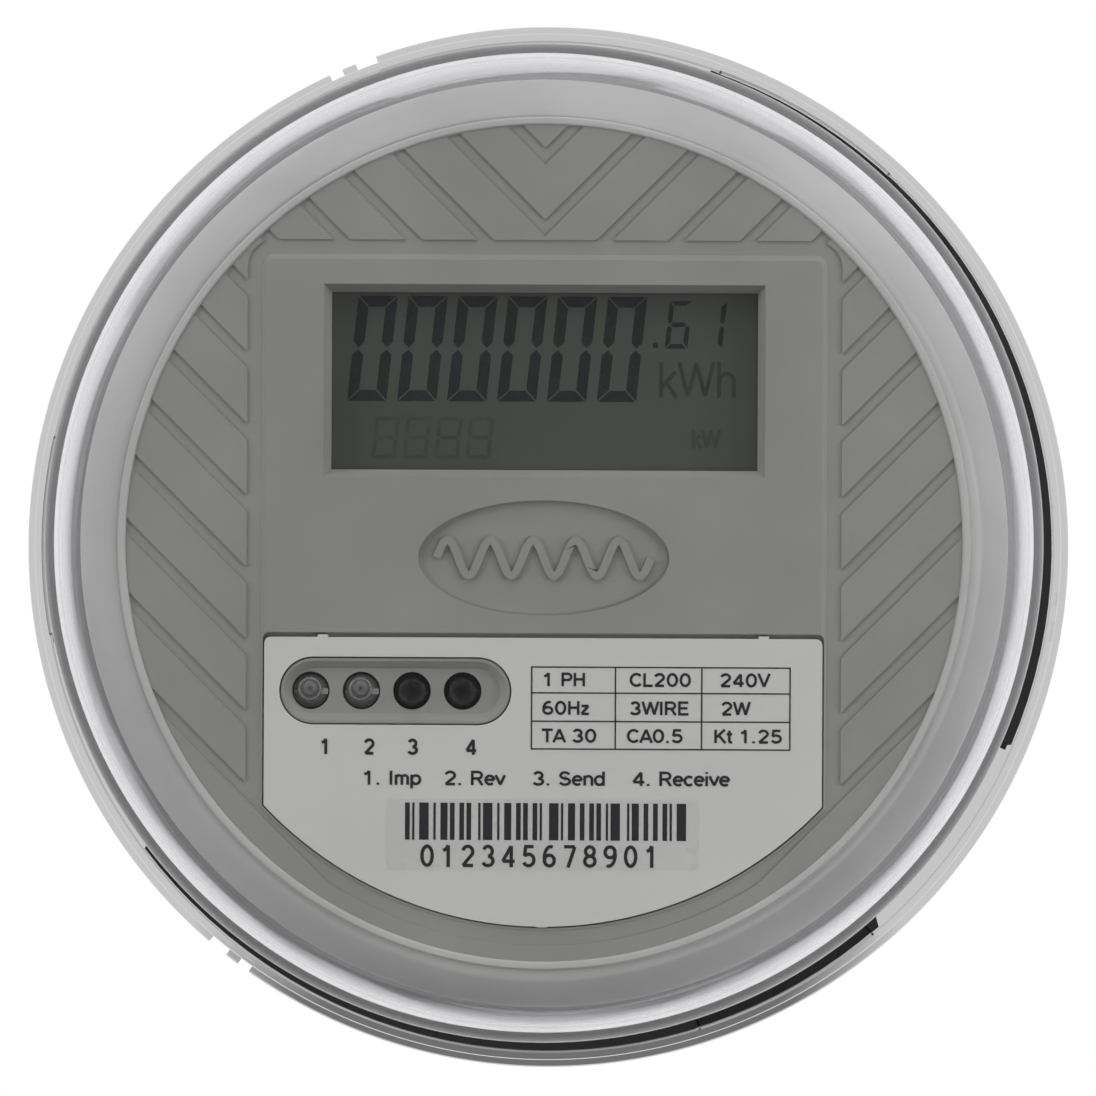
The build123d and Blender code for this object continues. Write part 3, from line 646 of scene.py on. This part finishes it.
# Strokes of each character and its width, in capital heights
ARCH = bow(0.31, 0.44, 0.2, 0.23, 180, 0) + [(0.51, 0)]
LETTERS = {
    "0": (0.76, bow(0.36, 0.5, 0.26, 0.43, 0, 360, 28)),
    "1": (0.76, [(0.14, 0.74), (0.3, 0.8), (0.4, 0.97), (0.4, 0)]),
    "2": (0.76, bow(0.36, 0.68, 0.25, 0.25, 165, -25) + [(0.11, 0.07), (0.63, 0.07)]),
    "3": (0.76, bow(0.35, 0.71, 0.22, 0.22, 160, -90), bow(0.35, 0.28, 0.26, 0.21, 90, -160)),
    "4": (0.76, [(0.5, 0), (0.5, 0.95), (0.07, 0.27), (0.68, 0.27)]),
    "5": (0.76, [(0.6, 0.93), (0.2, 0.93), (0.14, 0.5)], bow(0.35, 0.33, 0.27, 0.26, 140, -155)),
    "6": (0.76, bow(0.37, 0.31, 0.25, 0.24, 0, 360, 24), bow(0.43, 0.4, 0.32, 0.53, 70, 185)),
    "7": (0.76, [(0.08, 0.93), (0.63, 0.93), (0.28, 0)]),
    "8": (0.76, bow(0.36, 0.72, 0.22, 0.21, 0, 360, 24), bow(0.36, 0.29, 0.26, 0.22, 0, 360, 24)),
    "9": (0.76, bow(0.35, 0.69, 0.25, 0.24, 0, 360, 24), bow(0.29, 0.6, 0.32, 0.53, -110, 5)),
    "A": (0.74, [(0.03, 0), (0.37, 0.97), (0.71, 0)], [(0.15, 0.3), (0.59, 0.3)]),
    "C": (0.78, bow(0.42, 0.5, 0.33, 0.43, 42, 318)),
    "E": (0.72, [(0.64, 0.93), (0.12, 0.93), (0.12, 0.07), (0.66, 0.07)], [(0.12, 0.51), (0.6, 0.51)]),
    "H": (0.78, [(0.12, 0), (0.12, 1)], [(0.64, 0), (0.64, 1)], [(0.12, 0.52), (0.64, 0.52)]),
    "I": (0.32, [(0.15, 0), (0.15, 1)]),
    "K": (0.74, [(0.12, 0), (0.12, 1)], [(0.67, 1), (0.12, 0.38)], [(0.3, 0.58), (0.7, 0)]),
    "L": (0.64, [(0.12, 1), (0.12, 0.07), (0.6, 0.07)]),
    "P": (0.72, [(0.12, 0), (0.12, 0.93)] + bow(0.4, 0.7, 0.22, 0.23, 90, -90) + [(0.12, 0.47)]),
    "R": (0.78, [(0.12, 0), (0.12, 0.93)] + bow(0.42, 0.7, 0.22, 0.23, 90, -90) + [(0.12, 0.47)],
          [(0.42, 0.47), (0.68, 0)]),
    "S": (0.74, bow(0.36, 0.72, 0.24, 0.21, 15, 270) + bow(0.36, 0.29, 0.27, 0.22, 90, -165)),
    "T": (0.68, [(0.02, 0.93), (0.66, 0.93)], [(0.34, 0.93), (0.34, 0)]),
    "V": (0.7, [(0.03, 1), (0.35, 0.04), (0.67, 1)]),
    "W": (0.98, [(0.03, 1), (0.26, 0.04), (0.49, 0.96), (0.72, 0.04), (0.95, 1)]),
    "c": (0.56, bow(0.3, 0.365, 0.23, 0.3, 45, 315)),
    "d": (0.64, bow(0.3, 0.365, 0.23, 0.3, 0, 360, 24), [(0.53, 1), (0.53, 0)]),
    "e": (0.6, [(0.08, 0.38), (0.54, 0.38)], bow(0.305, 0.365, 0.235, 0.3, 0, 315)),
    "h": (0.62, [(0.11, 1), (0.11, 0)], ARCH),
    "i": (0.24, [(0.11, 0.72), (0.11, 0)], [(0.11, 0.87), (0.11, 1)]),
    "k": (0.56, [(0.11, 1), (0.11, 0)], [(0.49, 0.72), (0.11, 0.27)], [(0.25, 0.43), (0.52, 0)]),
    "m": (0.86, [(0.11, 0.72), (0.11, 0)], bow(0.27, 0.49, 0.16, 0.18, 180, 0) + [(0.43, 0)],
          bow(0.59, 0.49, 0.16, 0.18, 180, 0) + [(0.75, 0)]),
    "n": (0.62, [(0.11, 0.72), (0.11, 0)], ARCH),
    "p": (0.64, [(0.11, 0.72), (0.11, -0.26)], bow(0.34, 0.365, 0.23, 0.3, 0, 360, 24)),
    "t": (0.38, [(0.19, 0.93), (0.19, 0.14), (0.25, 0.06), (0.36, 0.06)], [(0.03, 0.66), (0.36, 0.66)]),
    "v": (0.56, [(0.03, 0.72), (0.28, 0.05), (0.53, 0.72)]),
    "z": (0.52, [(0.05, 0.65), (0.46, 0.65), (0.06, 0.07), (0.49, 0.07)]),
    ".": (0.34, [(0.13, 0), (0.13, 0.15)]),
    " ": (0.36,),
}


def band_sides(points, wide):
    """Left and right edges of a band along the points, mitred at its corners."""
    points = [Vector(point) for point in points]
    left, right = [], []
    for number, here in enumerate(points):
        ways = [
            (points[index + 1] - points[index]).normalized()
            for index in (number - 1, number) if 0 <= index < len(points) - 1
        ]
        along = (ways[0] + ways[-1]).normalized()
        reach = wide / 2 / max(0.5, along.dot(ways[0]))
        across = Vector((-along.y, along.x)) * reach
        left.append(here + across)
        right.append(here - across)
    return left, right


def split_sharp(points):
    """The points as runs, split wherever the line turns back by more than a right angle."""
    points = [Vector(point) for point in points]
    runs = [points[:1]]
    for before, here, after in zip(points, points[1:], points[2:]):
        runs[-1].append(here)
        if (here - before).dot(after - here) < 0:
            runs.append([here])
    runs[-1].append(points[-1])
    return runs


def add_stroke(shape, points, wide, depth):
    """A thin band along the points, which may close or cross itself."""
    left, right = band_sides(points, wide)
    for number in range(len(points) - 1):
        corners = [left[number], left[number + 1], right[number + 1], right[number]]
        add_mark(shape, corners, depth, PRINT_HALF)


def words_width(words, height, stretch, pitch):
    """How far the words run; a pitch, in millimetres, spaces the characters evenly."""
    if pitch:
        return pitch * len(words)
    return sum(LETTERS[letter][0] for letter in words) * height * stretch


def add_words(shape, words, x, y, depth, height, stretch=1.0, anchor=0.0, weight=0.19, pitch=0.0):
    """Words with their foot at y; anchor 0 starts them at x, 0.5 centres them there."""
    x -= anchor * words_width(words, height, stretch, pitch)
    for letter in words:
        wide, *strokes = LETTERS[letter]
        runs = [run for stroke in strokes for run in split_sharp(stroke)]
        for layer, run in enumerate(runs):
            points = [(x + across * height * stretch, y + up * height) for across, up in run]
            add_stroke(shape, points, weight * height, depth + layer * STROKE_LIFT)
        x += pitch or wide * height * stretch


# Places of the print from the meter's middle: LED numbers, legend, table, bars, serial digits, sticker
LABEL_X = (-34.5, -27.5, -20.6, -11.3)
LABEL_FOOT = -33.7
LABEL_HEIGHT = 2.5
LEGEND = (("1. Imp", -28.7), ("2. Rev", -15.7), ("3. Send", -1.7), ("4. Receive", 14.2))
LEGEND_FOOT = -38.5
LEGEND_HEIGHT = 2.25
LEGEND_STRETCH = 1.28
TABLE_X = (-1.8, 11.5, 25.2, 39.2)
TABLE_Y = (-19.7, -23.8, -28.3, -32.7)
TABLE_LINE = 0.22
CELLS = (("1 PH", "CL200", "240V"), ("60Hz", "3WIRE", "2W"), ("TA 30", "CA0.5", "Kt 1.25"))
CELL_INSET = ((1.6, 2.2, 2.8), (1.6, 2.2, 3.0), (1.6, 1.8, 1.9))
CELL_LIFT = 1.05
CELL_HEIGHT = 2.15
CELL_STRETCH = 1.25
BARS_X = (-21.8, 22.8)
BARS_Y = (-47.2, -41.3)
BAR_COUNT = 31
BAR_WIDTHS = (2, 1, 4, 1, 3, 2, 2)
BAR_GAPS = (1, 2, 2, 2, 1, 2, 1, 3)
SERIAL = "012345678901"
SERIAL_START = (-19.4, -51.5)
SERIAL_HEIGHT = 3.55
SERIAL_STRETCH = 0.88
SERIAL_WEIGHT = 0.155
SERIAL_PITCH = 3.23
STICKER = (-24.8, -52.0, 24.9, -40.7)
PRINT_GAP = 0.01


def build_table(shape, front):
    """Ruled table of ratings."""
    half = TABLE_LINE / 2
    for x in TABLE_X:
        line = rectangle(x - half, TABLE_Y[-1] - half, x + half, TABLE_Y[0] + half)
        add_mark(shape, line, front, PRINT_HALF)
    for y in TABLE_Y:
        line = rectangle(TABLE_X[0], y - half, TABLE_X[-1], y + half)
        add_mark(shape, line, front, PRINT_HALF)
    for row, words in enumerate(CELLS):
        for column, word in enumerate(words):
            x = TABLE_X[column] + CELL_INSET[row][column]
            foot = TABLE_Y[row + 1] + CELL_LIFT
            add_words(shape, word, x, foot, front, CELL_HEIGHT, stretch=CELL_STRETCH)


def build_bars(shape, front):
    """Bars that carry no code: widths and gaps repeat in a fixed pattern."""
    widths = [BAR_WIDTHS[number % len(BAR_WIDTHS)] for number in range(BAR_COUNT)]
    gaps = [BAR_GAPS[number % len(BAR_GAPS)] for number in range(BAR_COUNT - 1)]
    scale = (BARS_X[1] - BARS_X[0]) / (sum(widths) + sum(gaps))
    x = BARS_X[0]
    for wide, gap in zip(widths, gaps + [0]):
        bar = rectangle(x, BARS_Y[0], x + wide * scale, BARS_Y[1])
        add_mark(shape, bar, front, PRINT_HALF)
        x += (wide + gap) * scale


def build_print():
    """LED numbers, legend, ratings table, bars and serial digits, as thin ink over a faint sticker."""
    front = node_front("nameplate") + PRINT_HALF + PRINT_GAP
    sticker = bmesh.new()
    add_slab(sticker, rectangle(*STICKER), front - 2 * PRINT_HALF, front)
    patch = finished("plate_sticker", sticker)
    patch.data.materials.append(sticker_film)
    front += 2 * PRINT_HALF
    shape = bmesh.new()
    for number, x in enumerate(LABEL_X):
        add_words(shape, str(number + 1), x, LABEL_FOOT, front, LABEL_HEIGHT, anchor=0.5)
    for words, x in LEGEND:
        add_words(shape, words, x, LEGEND_FOOT, front, LEGEND_HEIGHT, stretch=LEGEND_STRETCH)
    build_table(shape, front)
    build_bars(shape, front)
    add_words(shape, SERIAL, *SERIAL_START, front, SERIAL_HEIGHT,
              stretch=SERIAL_STRETCH, weight=SERIAL_WEIGHT, pitch=SERIAL_PITCH)
    label = finished("plate_print", shape)
    label.data.materials.append(ink)
    for piece in (patch, label):
        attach(piece, "meter_body")


build_print()


# Raised wave on the badge

BADGE_MIDDLE = (0.0, -2.4)
BADGE_FLOOR = 63.6
WAVE_HALF = 17.0
WAVE_TURNS = 5
WAVE_RISE = 2.8
WAVE_WIDE = 1.25
WAVE_HIGH = 0.5
WAVE_SUNK = 0.1
WAVE_EASE = 0.15
WAVE_STEPS = 160


def build_badge():
    """A plain alternating-current wave in relief, on the badge's sunken floor."""
    points = []
    for step in range(WAVE_STEPS + 1):
        share = step / WAVE_STEPS
        x = BADGE_MIDDLE[0] + WAVE_HALF * (2 * share - 1)
        points.append((x, BADGE_MIDDLE[1] + WAVE_RISE * math.sin(2 * math.pi * WAVE_TURNS * share)))
    shape = bmesh.new()
    left, right = band_sides(points, WAVE_WIDE)
    add_slab(shape, left + right[::-1], BADGE_FLOOR - WAVE_SUNK, BADGE_FLOOR + WAVE_HIGH)
    wave = finished("badge_wave", shape)
    wave.data.materials.append(grey_plastic)
    soften(wave, WAVE_EASE)
    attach(wave, "meter_body")


build_badge()


# Display segments; a digit's size is its width, its height and its stroke

DIGIT_SLANT = 0.105
SEGMENT_GAP = 0.16
MARK_GAP = 0.01
ZERO_COUNT = 6
ZERO_START = (-31.5, 22.55)
ZERO_PITCH = 7.96
ZERO_SIZE = (6.25, 16.8, 1.75)
DECIMALS = ((19.1, "acdefg"), (24.6, "bc"))
DECIMAL_FOOT = 31.1
DECIMAL_SIZE = (3.6, 7.6, 0.75)
POINT = (17.6, 31.6, 0.4, 0.4)
UNIT_START = (17.9, 23.3)
UNIT_HEIGHT = 5.7
UNIT_STRETCH = 1.05
UNIT_WEIGHT = 0.11
UNLIT_COUNT = 4
UNLIT_START = (-27.6, 13.4)
UNLIT_PITCH = 5.0
UNLIT_SIZE = (3.9, 6.7, 0.6)
UNLIT_UNIT_START = (23.4, 15.2)
UNLIT_UNIT_HEIGHT = 3.0


def seven_segment(shape, x, y, depth, wide, tall, stroke, lit):
    """One slanted digit with its lower left corner at x, y; lit names its segments, a to g."""
    half = tall / 2
    gap = SEGMENT_GAP
    bar = (gap, wide - gap, stroke + gap, wide - stroke - gap)
    lower_post = (gap, stroke + gap, half - stroke / 2 - gap, half - gap)
    outlines = {
        "a": [(bar[0], tall), (bar[1], tall), (bar[3], tall - stroke), (bar[2], tall - stroke)],
        "d": [(bar[0], 0.0), (bar[1], 0.0), (bar[3], stroke), (bar[2], stroke)],
        "g": [(bar[0] + stroke / 2, half), (bar[2], half + stroke / 2), (bar[3], half + stroke / 2),
              (bar[1] - stroke / 2, half), (bar[3], half - stroke / 2), (bar[2], half - stroke / 2)],
        "e": [(0.0, lower_post[0]), (stroke, lower_post[1]), (stroke, lower_post[2]),
              (stroke / 2, lower_post[3]), (0.0, lower_post[2])],
    }
    outlines["c"] = [(wide - across, up) for across, up in outlines["e"]]
    outlines["f"] = [(across, tall - up) for across, up in outlines["e"]]
    outlines["b"] = [(wide - across, tall - up) for across, up in outlines["e"]]
    for name in lit:
        leaned = [(x + across + up * DIGIT_SLANT, y + up) for across, up in outlines[name]]
        add_mark(shape, leaned, depth, MARK_HALF)


def build_display():
    """Six large zeros, two small decimals, the unit, and a row of unlit digits."""
    depth = node_front("lcd_panel") + MARK_GAP
    zeros = bmesh.new()
    for number in range(ZERO_COUNT):
        x = ZERO_START[0] + number * ZERO_PITCH
        seven_segment(zeros, x, ZERO_START[1], depth, *ZERO_SIZE, "abcdef")
    small = bmesh.new()
    for x, lit in DECIMALS:
        seven_segment(small, x, DECIMAL_FOOT, depth, *DECIMAL_SIZE, lit)
    add_mark(small, block_outline(*POINT), depth, MARK_HALF)
    unit = bmesh.new()
    add_words(unit, "kWh", *UNIT_START, depth, UNIT_HEIGHT, stretch=UNIT_STRETCH, weight=UNIT_WEIGHT)
    ghost = bmesh.new()
    for number in range(UNLIT_COUNT):
        x = UNLIT_START[0] + number * UNLIT_PITCH
        seven_segment(ghost, x, UNLIT_START[1], depth, *UNLIT_SIZE, "abcdefg")
    add_words(ghost, "kW", *UNLIT_UNIT_START, depth, UNLIT_UNIT_HEIGHT)
    pieces = (("zeros", zeros, segment_dark), ("decimals", small, segment_dark),
              ("unit", unit, segment_mid), ("unlit_row", ghost, segment_ghost))
    for name, shape, material in pieces:
        marks = finished("display_" + name, shape)
        marks.data.materials.append(material)
        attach(marks, "meter_body")


build_display()


# Studio: floor, world, lamps and camera; lengths here are metres

FLOOR_DROP = 0.16
FLOOR_RADIUS = 0.6
BACKDROP_SIZE = 0.9
BACKDROP_GAP = 0.12
# The card's duller disc is painted shade seen through the clear flange, with a painted shadow darkest at
# its foot; outside it the card glows evenly bright.
CARD_SHADE_DISC = (0.108, 0.12)
CARD_SHADOW_DARK = (0.17, 0.17, 0.17)
CARD_SHADE_GREY = (0.62, 0.62, 0.62)
CARD_SHADOW_RISE = (-0.085, -0.07)
CARD_BRIGHT = (0.8, 0.8, 0.8)
FRONT_LIGHT = (0.09, 0.09, 0.092)
SIDE_LIGHT = (0.85, 0.85, 0.86)
BACK_LIGHT = (0.5, 0.5, 0.5)
FLOOR_COLOUR = (0.85, 0.85, 0.85)

# Each lamp's place and size in metres, and its power in watts
LAMPS = {
    "top_lamp": ((0.0, -0.45, 0.9), 0.7, 9.2),
    "left_lamp": ((-0.9, -0.45, 0.25), 0.5, 7.5),
    "right_lamp": ((0.9, -0.4, 0.1), 0.5, 7.6),
    "low_lamp": ((0.2, -0.5, -0.24), 0.3, 1.8),
}


def build_floor():
    """A round pale floor well below the meter."""
    bpy.ops.mesh.primitive_circle_add(vertices=96, radius=FLOOR_RADIUS, fill_type="NGON",
                                      location=(0, 0, cad_low.z - FLOOR_DROP))
    floor = bpy.context.object
    floor.name = "floor"
    floor.visible_glossy = False
    floor.visible_transmission = False
    floor.data.materials.append(plastic("pale_floor", FLOOR_COLOUR, roughness=0.7, mottle=0.01))


def card_material():
    """Glow that is bright all round, with painted shade in a duller disc straight behind the flange, and a
    painted shadow darkest at its foot.
    """
    material = bpy.data.materials.new("glowing_card")
    material.use_nodes = True
    tree = material.node_tree
    tree.nodes.remove(tree.nodes["Principled BSDF"])
    place = tree.nodes.new("ShaderNodeTexCoord")
    split = tree.nodes.new("ShaderNodeSeparateXYZ")
    tree.links.new(place.outputs["Object"], split.inputs[0])
    slope = tree.nodes.new("ShaderNodeMapRange")
    slope.inputs["From Min"].default_value = CARD_SHADOW_RISE[0]
    slope.inputs["From Max"].default_value = CARD_SHADOW_RISE[1]
    tree.links.new(split.outputs["Y"], slope.inputs["Value"])
    # Painted shade: a grey disc, with a painted shadow towards its foot.
    disc = ramp(tree, slope.outputs["Result"], CARD_SHADOW_DARK, CARD_SHADE_GREY, 0.0, 1.0)
    away = tree.nodes.new("ShaderNodeVectorMath")
    away.operation = "LENGTH"
    tree.links.new(place.outputs["Object"], away.inputs[0])
    edge = tree.nodes.new("ShaderNodeMapRange")
    edge.inputs["From Min"].default_value = CARD_SHADE_DISC[0]
    edge.inputs["From Max"].default_value = CARD_SHADE_DISC[1]
    tree.links.new(away.outputs["Value"], edge.inputs["Value"])
    near = tree.nodes.new("ShaderNodeEmission")
    tree.links.new(disc, near.inputs["Color"])
    far = tree.nodes.new("ShaderNodeEmission")
    far.inputs["Color"].default_value = (*CARD_BRIGHT, 1)
    mix = tree.nodes.new("ShaderNodeMixShader")
    tree.links.new(edge.outputs["Result"], mix.inputs[0])
    tree.links.new(near.outputs[0], mix.inputs[1])
    tree.links.new(far.outputs[0], mix.inputs[2])
    tree.links.new(mix.outputs[0], tree.nodes["Material Output"].inputs["Surface"])
    return material


def build_backdrop():
    """A glowing card behind the meter, seen only through and in its clear parts."""
    bpy.ops.mesh.primitive_plane_add(size=BACKDROP_SIZE, location=(0, cad_high.y + BACKDROP_GAP, 0))
    card = bpy.context.object
    card.name = "backdrop"
    card.rotation_euler = (math.radians(90), 0, 0)
    card.visible_camera = False
    card.visible_shadow = False
    card.data.materials.append(card_material())


def build_world():
    """White to the camera; for light, bright behind the meter and dimmer in front of it."""
    world = bpy.data.worlds.new("studio")
    bpy.context.scene.world = world
    world.use_nodes = True
    tree = world.node_tree
    place = tree.nodes.new("ShaderNodeTexCoord")
    split = tree.nodes.new("ShaderNodeSeparateXYZ")
    tree.links.new(place.outputs["Generated"], split.inputs[0])
    turn = tree.nodes.new("ShaderNodeMapRange")
    turn.inputs["From Min"].default_value = -1.0
    tree.links.new(split.outputs["Y"], turn.inputs["Value"])
    sky = ramp(tree, turn.outputs["Result"], FRONT_LIGHT, BACK_LIGHT, 0.0, 1.0)
    side = sky.node.color_ramp.elements.new(0.5)
    side.color = (*SIDE_LIGHT, 1)
    backdrop = tree.nodes["Background"]
    tree.links.new(sky, backdrop.inputs["Color"])
    seen = tree.nodes.new("ShaderNodeBackground")
    path = tree.nodes.new("ShaderNodeLightPath")
    mix = tree.nodes.new("ShaderNodeMixShader")
    tree.links.new(path.outputs["Is Camera Ray"], mix.inputs[0])
    tree.links.new(backdrop.outputs[0], mix.inputs[1])
    tree.links.new(seen.outputs[0], mix.inputs[2])
    seen.inputs["Color"].default_value = (1, 1, 1, 1)
    tree.links.new(mix.outputs[0], tree.nodes["World Output"].inputs["Surface"])


def add_lamp(name, place, size, power):
    """A square soft lamp that looks at the meter."""
    lamp = bpy.data.lights.new(name, "AREA")
    lamp.size = size
    lamp.energy = power
    thing = new_object(name, lamp)
    thing.visible_glossy = False
    thing.visible_transmission = False
    thing.location = place
    thing.rotation_euler = (-Vector(place)).to_track_quat("-Z", "Y").to_euler()


CAMERA_PLACE = Vector((0.0105, -1.0, -0.0095))
CAMERA_TARGET = Vector((0.0, 0.0, -0.0002))
CAMERA_LENS = 193.3
CAMERA_ROLL = math.radians(0.27)


def build_camera():
    """Looks at the face from straight ahead, a touch low and to the right."""
    camera = new_object("camera", bpy.data.cameras.new("camera"))
    camera.data.lens = CAMERA_LENS
    camera.location = CAMERA_PLACE
    aim = (CAMERA_TARGET - CAMERA_PLACE).to_track_quat("-Z", "Y").to_matrix()
    camera.rotation_euler = (aim @ Matrix.Rotation(CAMERA_ROLL, 3, "Z")).to_euler()
    bpy.context.scene.camera = camera


build_floor()
build_backdrop()
build_world()
for lamp_name, (place, size, power) in LAMPS.items():
    add_lamp(lamp_name, place, size, power)
build_camera()
bpy.context.scene.view_settings.view_transform = "Standard"
